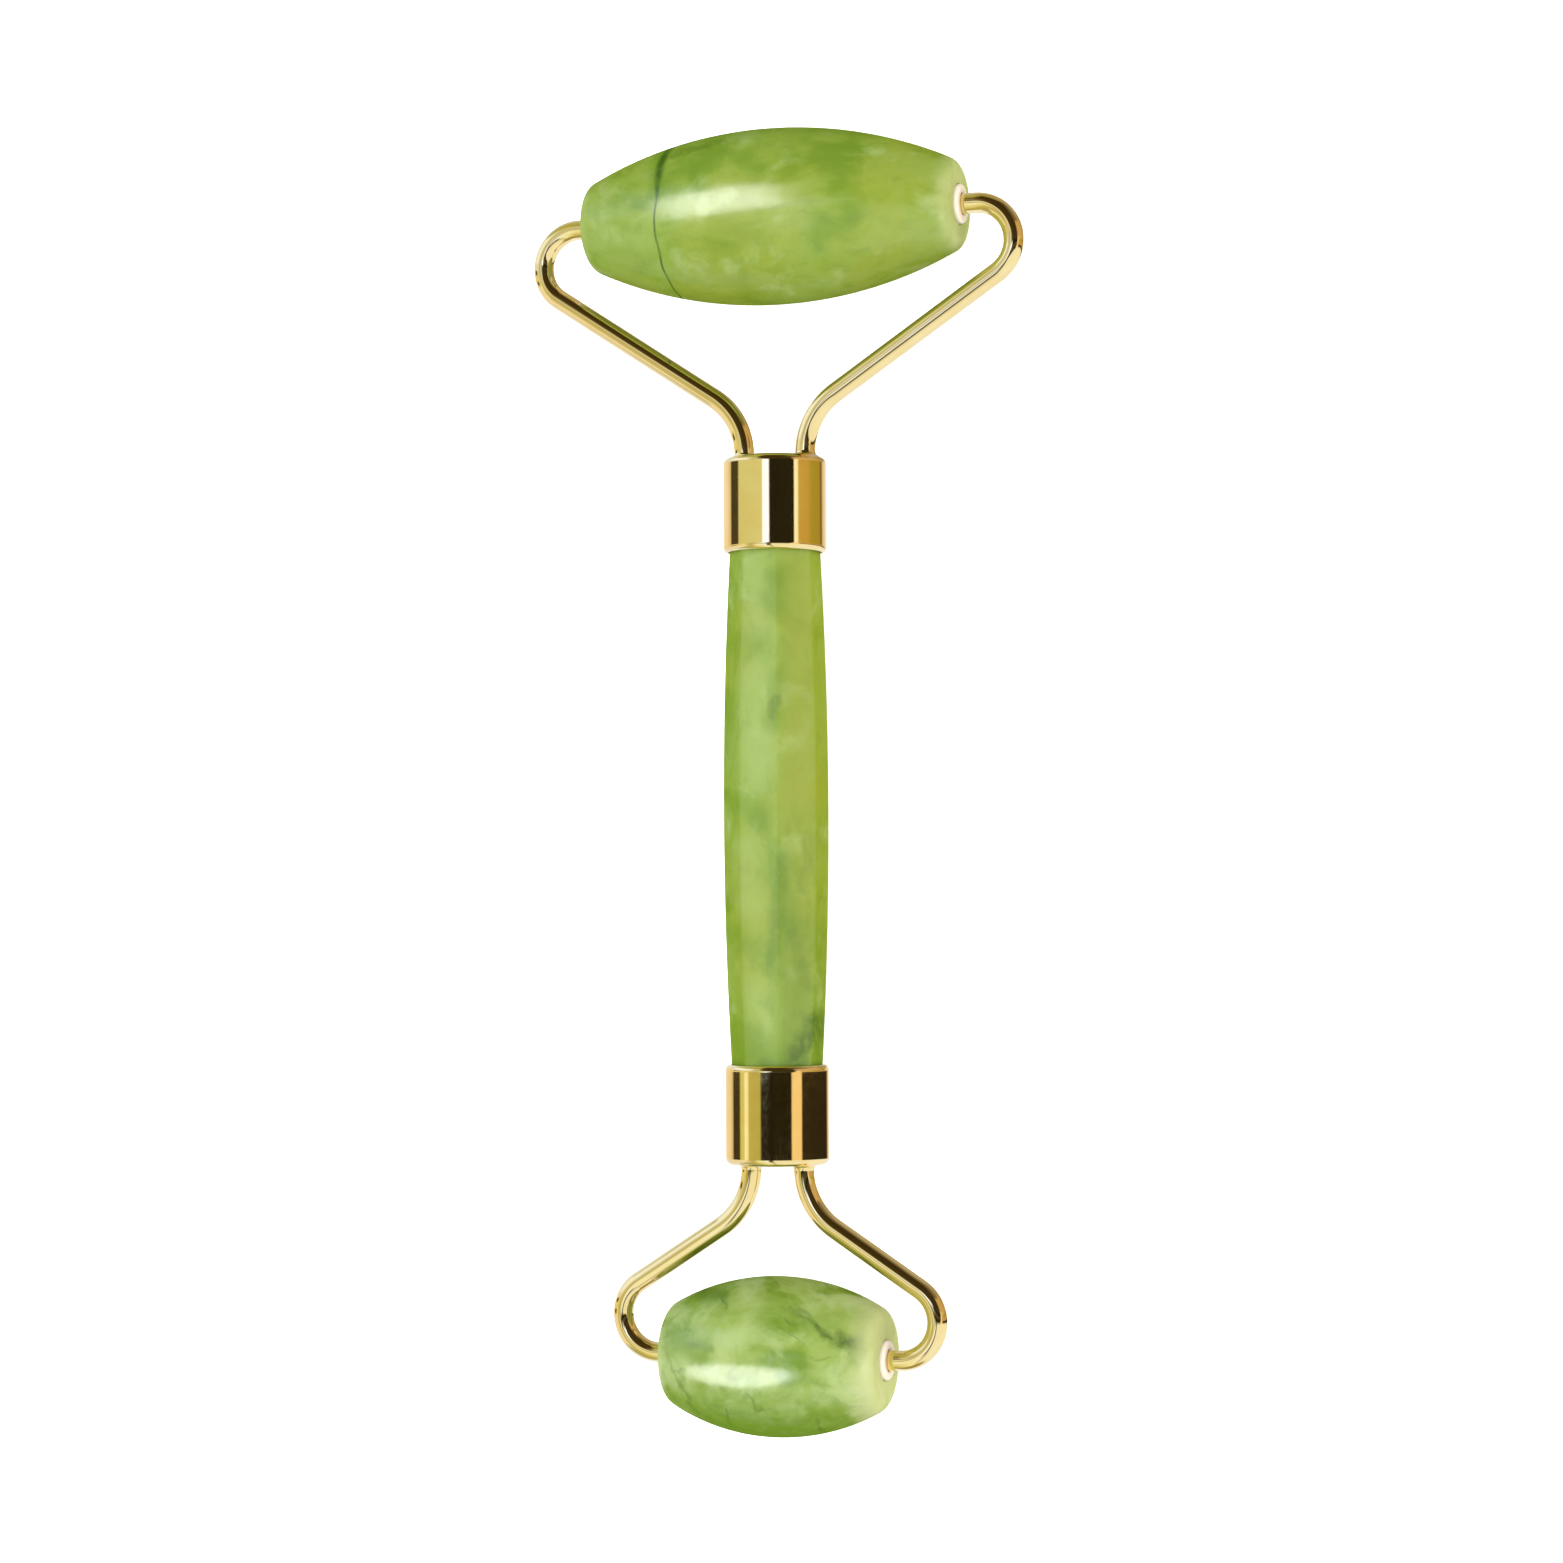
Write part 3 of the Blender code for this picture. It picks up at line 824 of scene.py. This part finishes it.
def arm_points(sizes, end):
    """Centreline of an arm as (across, along) from the ferrule's face, out of its CAD box."""
    stone, _ = ENDS[end]
    low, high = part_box(f"{end}_right_arm")
    face = ferrule_face(end).y
    leg = low.x + sizes.wire_radius
    width = high.x - sizes.wire_radius
    near, far = sorted((abs(low.y - face), abs(high.y - face)))
    reach = far - sizes.wire_radius
    neck, shoulder = sizes.neck_bend, sizes.shoulder_bend
    across = width - leg - neck - shoulder
    along = reach - sizes.neck - shoulder
    straight = math.sqrt(across**2 + along**2 - (neck + shoulder) ** 2)
    slope = math.atan2(along, across) - math.atan2(neck + shoulder, straight)
    points = [(leg, -near), (leg, -near / 2), (leg, 0.0)]
    points += arc((leg + neck, sizes.neck), neck, math.pi, math.pi / 2 + slope, NECK_STEPS)
    turn = (width - shoulder, reach - shoulder)
    points += arc(turn, shoulder, slope - math.pi / 2, math.pi / 2, SHOULDER_STEPS)
    pin_tip = node_size(f"{stone}_stone").x / 2 - sizes.pin_depth
    points += [(width - shoulder - 0.5 * MM, reach), (pin_tip, reach)]
    return points


class ROLLER_OT_arms(Operator):
    """Bend the four gold wire arms"""

    bl_idname = "roller.arms"
    bl_label = "Arms"

    def execute(self, context):
        sizes = context.scene.face_roller.forks
        for end, (_, direction) in ENDS.items():
            points = arm_points(sizes, end)
            for word, side in SIDES.items():
                node = f"{end}_{word}_arm"
                curve = bpy.data.curves.new(node, "CURVE")
                curve.dimensions = "3D"
                curve.bevel_depth = sizes.wire_radius
                curve.bevel_resolution = WIRE_RESOLUTION
                curve.use_fill_caps = True
                spline = curve.splines.new("POLY")
                spline.points.add(len(points) - 1)
                for point, (across, along) in zip(spline.points, points):
                    point.co = (side * across, direction * along, 0.0, 1.0)
                stand_gold(curve, ferrule_face(end), node)
        return {"FINISHED"}


def braze_profile(sizes):
    """A small concave collar around a leg, on the ferrule's face."""
    inside = sizes.wire_radius + 0.01 * MM
    foot = 0.01 * MM
    outside = inside + sizes.braze_width
    top = foot + sizes.braze_height
    points = [(inside, top)]
    for across, along in arc((0.0, 0.0), 0.97, math.pi, 1.5 * math.pi, 12):
        points.append((outside + sizes.braze_width * across, top + sizes.braze_height * along))
    points += [(outside, foot), (inside, foot)]
    return points


class ROLLER_OT_braze(Operator):
    """Make the braze at the foot of each arm"""

    bl_idname = "roller.braze"
    bl_label = "Braze"

    def execute(self, context):
        sizes = context.scene.face_roller.forks
        for end, (_, direction) in ENDS.items():
            for word in SIDES:
                node = f"{end}_{word}_braze"
                place = node_middle(node)
                place.y = ferrule_face(end).y
                profile = braze_profile(sizes)
                mesh = turned_mesh(node, profile, BRAZE_STEPS, facing(direction), closed=True)
                stand_gold(mesh, place, node)
        return {"FINISHED"}


# -------- rollers


def stone_profile(sizes, radius, span, end_radius):
    """A barrel whose side is one long arc, with rounded edges and a bored axis."""
    half = span / 2
    sag = radius - end_radius
    side_radius = (half**2 + sag**2) / (2 * sag)
    side_centre = (radius - side_radius, 0.0)
    edge = sizes.edge_rounding
    lean = math.asin((half - edge) / (side_radius - edge))
    edge_centre = side_centre[0] + (side_radius - edge) * math.cos(lean)
    bore = sizes.bore_radius
    break_edge = 0.12 * MM
    points = [(bore, half - break_edge)]
    points += arc((bore + break_edge, half - break_edge), break_edge, math.pi, math.pi / 2, 4)[1:]
    points += arc((edge_centre, half - edge), edge, math.pi / 2, lean, 14)
    points += arc(side_centre, side_radius, lean, -lean, 84)[1:-1]
    points += arc((edge_centre, edge - half), edge, -lean, -math.pi / 2, 14)
    points += arc((bore + break_edge, break_edge - half), break_edge, -math.pi / 2, -math.pi, 4)
    return points


class ROLLER_OT_stones(Operator):
    """Turn the two jade stones"""

    bl_idname = "roller.stones"
    bl_label = "Stones"

    def execute(self, context):
        settings = context.scene.face_roller
        along_x = Matrix.Rotation(math.pi / 2, 4, "Y")
        for roller, look, end_radius in (
            ("large_roller", LARGE_LOOK, settings.rollers.large_end_radius),
            ("small_roller", SMALL_LOOK, settings.rollers.small_end_radius),
        ):
            node = f"{roller}_stone"
            size = node_size(node)
            profile = stone_profile(settings.rollers, size.z / 2, size.x, end_radius)
            mesh = turned_mesh(node, profile, STONE_STEPS, along_x, closed=True)
            finish = jade_finish(f"{roller}_jade", settings.stone, look, size.x / MM / 2)
            stand(f"jade_{node}", mesh, node_middle(node), finish, node, roller)
        return {"FINISHED"}


def bush_profile(sizes, radius, span):
    """A sleeve about its own middle, with a rounded nose at the top and a chamfered pin hole."""
    nose = span / 2
    rounding = sizes.nose_rounding
    hole = sizes.pin_hole
    lead = 0.14 * MM
    points = [(hole, nose - lead), (hole + lead, nose)]
    points += arc((radius - rounding, nose - rounding), rounding, math.pi / 2, 0.0, 8)
    points += [(radius, nose - rounding - 0.05 * MM), (radius, -nose), (hole, -nose)]
    return points


class ROLLER_OT_bushes(Operator):
    """Make the four nylon bushes"""

    bl_idname = "roller.bushes"
    bl_label = "Bushes"

    def execute(self, context):
        sizes = context.scene.face_roller.rollers
        for roller, _ in ENDS.values():
            for word, side in SIDES.items():
                node = f"{roller}_{word}_bush"
                size = node_size(node)
                outward = Matrix.Rotation(side * math.pi / 2, 4, "Y")
                profile = bush_profile(sizes, size.z / 2, size.x)
                mesh = turned_mesh(node, profile, BUSH_STEPS, outward, closed=True)
                finish = bpy.data.materials["moulded_nylon"]
                stand(f"nylon_{node}", mesh, node_middle(node), finish, node, roller)
        return {"FINISHED"}


# -------- glue, finishes and stage


class ROLLER_OT_finishes(Operator):
    """Mix the gold, nylon and glue, and give the glue its finish"""

    bl_idname = "roller.finishes"
    bl_label = "Gold, nylon and glue"

    def execute(self, context):
        colours = context.scene.face_roller.others
        gold_finish("polished_gold", colours.gold)
        nylon_finish("moulded_nylon", colours.nylon)
        glue = glue_finish("hard_glue", colours.glue)
        for end in ENDS:
            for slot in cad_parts[f"{end}_glue"].material_slots:
                slot.material = glue
        return {"FINISHED"}


# What the polished metal mirrors all the way round: degrees from straight up towards the right side,
# then red, green and blue. light_studio says where along the roller each strip lies.
UPPER_STUDIO = (
    (-180, 1.00, 0.95, 0.88),
    (-112, 0.95, 0.85, 0.70),
    (-98, 0.75, 0.62, 0.45),
    (-94, 0.07, 0.055, 0.03),
    (-72, 0.07, 0.055, 0.03),
    (-68, 0.70, 0.72, 0.42),
    (-10, 0.74, 0.76, 0.45),
    (-7, 1.30, 1.50, 2.60),
    (5, 1.30, 1.50, 2.60),
    (8, 0.018, 0.016, 0.008),
    (62, 0.018, 0.016, 0.008),
    (64, 1.10, 1.15, 1.10),
    (71, 1.10, 1.10, 1.00),
    (75, 0.60, 0.43, 0.12),
    (98, 0.58, 0.40, 0.10),
    (110, 0.43, 0.35, 0.06),
    (138, 0.40, 0.32, 0.05),
    (146, 0.16, 0.10, 0.03),
    (156, 0.80, 0.67, 0.53),
)
LOWER_STUDIO = (
    (-180, 1.00, 0.95, 0.88),
    (-106, 0.90, 0.78, 0.60),
    (-98, 0.60, 0.50, 0.30),
    (-94, 0.05, 0.04, 0.02),
    (-74, 0.05, 0.04, 0.02),
    (-70, 0.66, 0.66, 0.26),
    (-60, 0.72, 0.72, 0.32),
    (-57, 1.10, 1.10, 0.95),
    (-50, 1.00, 1.00, 0.70),
    (-46, 0.54, 0.52, 0.17),
    (-20, 0.52, 0.50, 0.16),
    (-16, 0.015, 0.012, 0.004),
    (50, 0.015, 0.012, 0.004),
    (53, 1.00, 0.80, 0.50),
    (74, 1.00, 0.80, 0.48),
    (77, 0.026, 0.020, 0.010),
    (160, 0.030, 0.022, 0.010),
    (172, 0.80, 0.67, 0.53),
)
MIDDLE_STUDIO = (
    (-180, 1.00, 0.95, 0.88),
    (-106, 0.90, 0.78, 0.60),
    (-60, 0.80, 0.80, 0.45),
    (-28, 0.52, 0.50, 0.36),
    (-22, 0.60, 0.60, 0.45),
    (-17, 0.87, 0.93, 0.85),
    (-12, 1.00, 1.20, 1.80),
    (-5, 1.00, 1.20, 1.80),
    (4, 0.10, 0.09, 0.06),
    (55, 0.05, 0.04, 0.02),
    (62, 0.95, 0.85, 0.65),
    (80, 0.60, 0.43, 0.20),
    (150, 0.50, 0.38, 0.18),
    (165, 0.80, 0.67, 0.53),
)
SHELF_STUDIO = (
    (-180, 0.80, 0.78, 0.75),
    (-110, 0.85, 0.88, 0.95),
    (-50, 0.85, 0.90, 0.95),
    (-34, 0.58, 0.58, 0.55),
    (-25, 0.42, 0.42, 0.40),
    (-18, 0.85, 0.95, 1.10),
    (-12, 0.70, 0.75, 0.75),
    (-7, 0.40, 0.40, 0.35),
    (2, 0.05, 0.04, 0.02),
    (58, 0.05, 0.04, 0.02),
    (66, 0.80, 0.70, 0.50),
    (110, 0.60, 0.44, 0.20),
    (150, 0.50, 0.38, 0.18),
)
HIGH_STUDIO = (
    (-180, 0.42, 0.40, 0.36),
    (-143, 0.90, 1.05, 1.30),
    (-116, 0.78, 0.88, 1.10),
    (-76, 1.00, 1.15, 1.50),
    (-50, 0.98, 1.15, 1.50),
    (-40, 0.76, 0.88, 1.00),
    (-34, 0.60, 0.63, 0.42),
    (-25, 0.66, 0.72, 0.55),
    (-18, 0.20, 0.17, 0.09),
    (-11, 0.06, 0.04, 0.01),
    (56, 0.04, 0.03, 0.01),
    (68, 0.62, 0.45, 0.25),
    (120, 0.62, 0.45, 0.22),
    (150, 0.40, 0.30, 0.12),
)
TOP_STUDIO = (
    (-180, 0.50, 0.45, 0.35),
    (-150, 0.60, 0.62, 0.60),
    (-110, 0.62, 0.70, 0.75),
    (-84, 0.46, 0.49, 0.23),
    (-45, 0.48, 0.50, 0.17),
    (-30, 0.40, 0.40, 0.14),
    (-20, 0.06, 0.04, 0.01),
    (34, 0.04, 0.03, 0.01),
    (50, 0.07, 0.06, 0.03),
    (78, 0.20, 0.16, 0.08),
    (116, 0.34, 0.31, 0.24),
    (145, 0.49, 0.44, 0.34),
)
LOW_STUDIO = (
    (-180, 0.95, 1.00, 1.10),
    (-118, 0.90, 0.88, 0.96),
    (-64, 0.95, 0.92, 0.81),
    (-53, 0.86, 0.84, 0.65),
    (-43, 0.58, 0.56, 0.34),
    (-34, 0.57, 0.55, 0.32),
    (-28, 0.85, 0.88, 0.54),
    (-20, 0.95, 1.05, 1.00),
    (-9, 0.97, 1.06, 1.00),
    (-5, 1.00, 1.20, 1.90),
    (-2, 1.00, 1.20, 1.90),
    (2, 0.14, 0.12, 0.07),
    (8, 0.14, 0.12, 0.07),
    (13, 0.95, 1.00, 1.00),
    (120, 1.00, 1.05, 1.05),
)
BOTTOM_STUDIO = (
    (-180, 0.95, 1.00, 1.20),
    (-143, 1.00, 1.15, 1.50),
    (-113, 0.90, 1.05, 1.40),
    (-90, 0.62, 0.70, 0.75),
    (-66, 0.42, 0.42, 0.19),
    (-50, 0.50, 0.48, 0.15),
    (-35, 0.70, 0.70, 0.35),
    (-5, 1.00, 1.06, 0.90),
    (4, 0.92, 0.98, 0.70),
    (10, 0.50, 0.50, 0.45),
    (16, 0.88, 0.94, 0.94),
    (37, 1.00, 1.07, 1.10),
)
OVERHEAD = (0.36, 0.33, 0.14)


def studio_strip(tree, bearing, stops):
    """Colour by bearing, 0 to 1 for -180 to 180 degrees. The strip ends as it starts."""
    stops = (*stops, (180, *stops[0][1:]))
    node = add_node(tree, "ShaderNodeValToRGB", {"Fac": bearing})
    ramp = node.color_ramp
    while len(ramp.elements) < len(stops):
        ramp.elements.new(0.5)
    for element, (degrees, *_) in zip(ramp.elements, stops):
        element.position = (degrees + 180) / 360
    for element, (_, *tint) in zip(ramp.elements, stops):
        element.color = (*tint, 1.0)
    return node.outputs["Color"]


def light_studio():
    """Even white light, and a studio of strips and dark flags for the polished metal to mirror."""
    world = bpy.data.worlds.new("Studio")
    bpy.context.scene.world = world
    world.use_nodes = True
    tree = world.node_tree
    tree.nodes.clear()
    heading = add_node(tree, "ShaderNodeTexCoord").outputs["Generated"]
    parts = add_node(tree, "ShaderNodeSeparateXYZ", {0: heading}).outputs
    around = calculate(tree, "ARCTAN2", parts["X"], parts["Z"])
    bearing = calculate(tree, "MULTIPLY_ADD", around, 1 / (2 * math.pi), 0.5)
    mirrored = studio_strip(tree, bearing, LOWER_STUDIO)
    layers = (
        (MIDDLE_STUDIO, -0.036, -0.020),
        (UPPER_STUDIO, 0.06, 0.085),
        (SHELF_STUDIO, 0.130, 0.150),
        (HIGH_STUDIO, 0.20, 0.26),
        (TOP_STUDIO, 0.54, 0.62),
        (LOW_STUDIO, -0.065, -0.13),
        (BOTTOM_STUDIO, -0.50, -0.58),
    )
    for stops, start, end in layers:
        strip = studio_strip(tree, bearing, stops)
        mirrored = blend(tree, rise(tree, parts["Y"], start, end), mirrored, strip)
    steep = calculate(tree, "ABSOLUTE", parts["Y"])
    mirrored = blend(tree, rise(tree, steep, 0.93, 0.97), mirrored, OVERHEAD)
    rays = add_node(tree, "ShaderNodeLightPath").outputs
    sky = blend(tree, rise(tree, parts["Z"], -0.1, 0.9), (0.55, 0.55, 0.55), (0.95, 0.95, 0.94))
    sideways = calculate(tree, "ABSOLUTE", parts["X"])
    side = blend(tree, rise(tree, parts["X"], -0.2, 0.3), (1.05, 1.12, 1.20), (2.20, 2.05, 1.60))
    sky = blend(tree, rise(tree, sideways, 0.30, 0.95), sky, side)
    sky = blend(tree, rise(tree, parts["Y"], 0.1, 1.0, 0.0, 0.6), sky, (0.42, 0.42, 0.42))
    even = blend(tree, rays["Is Camera Ray"], sky, (1.0, 1.0, 1.0))
    seen = blend(tree, rays["Is Glossy Ray"], even, mirrored)
    light = add_node(tree, "ShaderNodeBackground", {"Color": seen, "Strength": 1.0})
    add_node(tree, "ShaderNodeOutputWorld", {"Surface": light.outputs["Background"]})


def bearing_axes(away, roll):
    """Axes of a thing that looks back along away, with its top towards +Y and then rolled."""
    right = Vector((0.0, 1.0, 0.0)).cross(away).normalized()
    up = away.cross(right)
    rolled = math.cos(roll) * right + math.sin(roll) * up
    return Matrix((rolled, away.cross(rolled), away)).transposed().to_4x4()


def towards(azimuth, elevation):
    """A direction at azimuth off straight up towards +X, and elevation towards +Y."""
    level = math.cos(elevation)
    return Vector((level * math.sin(azimuth), math.sin(elevation), level * math.cos(azimuth)))


def area_light(name, target, away, distance, width, height, power, shape="RECTANGLE", roll=0.0):
    """An area light that faces target from distance in the direction away."""
    light = bpy.data.lights.new(name, "AREA")
    light.shape = shape
    light.size = width
    light.size_y = height
    light.energy = power
    item = new_object(name, light)
    item.matrix_world = Matrix.Translation(target + distance * away) @ bearing_axes(away, roll)
    return item


def light_only(item, *receivers):
    """Keeps a light to the given objects."""
    lit = bpy.data.collections.new(f"lit by {item.name}")
    for receiver in receivers:
        lit.objects.link(receiver)
    item.light_linking.receiver_collection = lit


def soft_box(name, stone, away, width, height, power, shape, roll):
    """A soft box that only shows as the sheen of one polished piece of stone."""
    item = area_light(name, node_middle(stone), away, 0.9, width, height, power, shape, roll)
    light_only(item, bpy.data.objects[f"jade_{stone}"])
    item.visible_diffuse = False


def light_floor(floor):
    """A wash over the floor alone, which keeps it white under the roller."""
    wash = area_light("floor_wash", Vector(), UP, 1.5, 3.0, 3.0, 70.0)
    light_only(wash, floor)
    wash.light_linking.blocker_collection = wash.light_linking.receiver_collection
    wash.visible_glossy = False


def aim_camera(studio):
    """The camera, looking at the roller's middle."""
    low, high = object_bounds()
    target = (low + high) / 2 + Vector(studio.aim)
    away = towards(studio.turn, studio.lean)
    data = bpy.data.cameras.new("Camera")
    data.lens = studio.lens
    data.clip_start = 0.01
    camera = new_object("Camera", data)
    place = Matrix.Translation(target + studio.distance * away)
    camera.matrix_world = place @ bearing_axes(away, studio.roll)
    bpy.context.scene.camera = camera


class ROLLER_OT_stage(Operator):
    """Set the floor, the light and the camera"""

    bl_idname = "roller.stage"
    bl_label = "Floor, light and camera"

    def execute(self, context):
        settings = context.scene.face_roller
        builder = bmesh.new()
        bmesh.ops.create_grid(builder, x_segments=8, y_segments=8, size=2.0)
        floor = new_object("floor", new_mesh("floor", builder))
        floor.data.materials.append(floor_finish("pale_board", settings.others.floor))
        floor.visible_glossy = False
        floor.visible_diffuse = False
        floor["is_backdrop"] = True
        light_studio()
        for name, stone, azimuth, elevation, width, height, power, shape, roll in (
            ("large_sheen", "large_roller_stone", -28, 14, 0.54, 0.46, 6.5, "RECTANGLE", 14),
            ("small_sheen", "small_roller_stone", -30, -22, 1.10, 0.46, 11.5, "ELLIPSE", 0),
            ("handle_sheen", "handle", -9, 0, 0.20, 1.0, 0.6, "RECTANGLE", 0),
        ):
            away = towards(math.radians(azimuth), math.radians(elevation))
            soft_box(name, stone, away, width, height, power, shape, math.radians(roll))
        key = area_light("key_light", node_middle("handle"), UP, 0.45, 0.3, 0.25, 1.5)
        key.visible_glossy = False
        light_floor(floor)
        context.scene.view_settings.view_transform = "Standard"
        aim_camera(settings.studio)
        return {"FINISHED"}


# -------- panel and registration


class FaceRoller(PropertyGroup):
    handle: PointerProperty(type=HandleSizes)
    forks: PointerProperty(type=ForkSizes)
    rollers: PointerProperty(type=RollerSizes)
    stone: PointerProperty(type=StoneColours)
    others: PointerProperty(type=OtherColours)
    studio: PointerProperty(type=StudioSizes)


class ROLLER_PT_panel(Panel):
    bl_label = "Jade Face Roller"
    bl_space_type = "VIEW_3D"
    bl_region_type = "UI"
    bl_category = "Roller"

    def draw(self, context):
        settings = context.scene.face_roller
        for title, group, operators in (
            ("Handle", settings.handle, (ROLLER_OT_handle,)),
            ("Forks", settings.forks, (ROLLER_OT_ferrules, ROLLER_OT_arms, ROLLER_OT_braze)),
            ("Rollers", settings.rollers, (ROLLER_OT_stones, ROLLER_OT_bushes)),
            ("Jade", settings.stone, ()),
            ("Other colours", settings.others, (ROLLER_OT_finishes,)),
            ("Studio", settings.studio, (ROLLER_OT_stage,)),
        ):
            box = self.layout.box()
            box.label(text=title)
            for name in group.__annotations__:
                box.prop(group, name)
            for operator in operators:
                box.operator(operator.bl_idname)


OPERATORS = (
    ROLLER_OT_finishes,
    ROLLER_OT_handle,
    ROLLER_OT_ferrules,
    ROLLER_OT_arms,
    ROLLER_OT_braze,
    ROLLER_OT_stones,
    ROLLER_OT_bushes,
    ROLLER_OT_stage,
)
GROUPS = (
    HandleSizes,
    ForkSizes,
    RollerSizes,
    StoneColours,
    OtherColours,
    StudioSizes,
    FaceRoller,
)


def register():
    for item in (*GROUPS, *OPERATORS, ROLLER_PT_panel):
        bpy.utils.register_class(item)
    bpy.types.Scene.face_roller = PointerProperty(type=FaceRoller)


def unregister():
    del bpy.types.Scene.face_roller
    for item in (ROLLER_PT_panel, *reversed(OPERATORS), *reversed(GROUPS)):
        bpy.utils.unregister_class(item)


def main():
    register()
    for operator in OPERATORS:
        group, name = operator.bl_idname.split(".")
        getattr(getattr(bpy.ops, group), name)()
    bpy.context.view_layer.update()


if __name__ == "__main__":
    main()
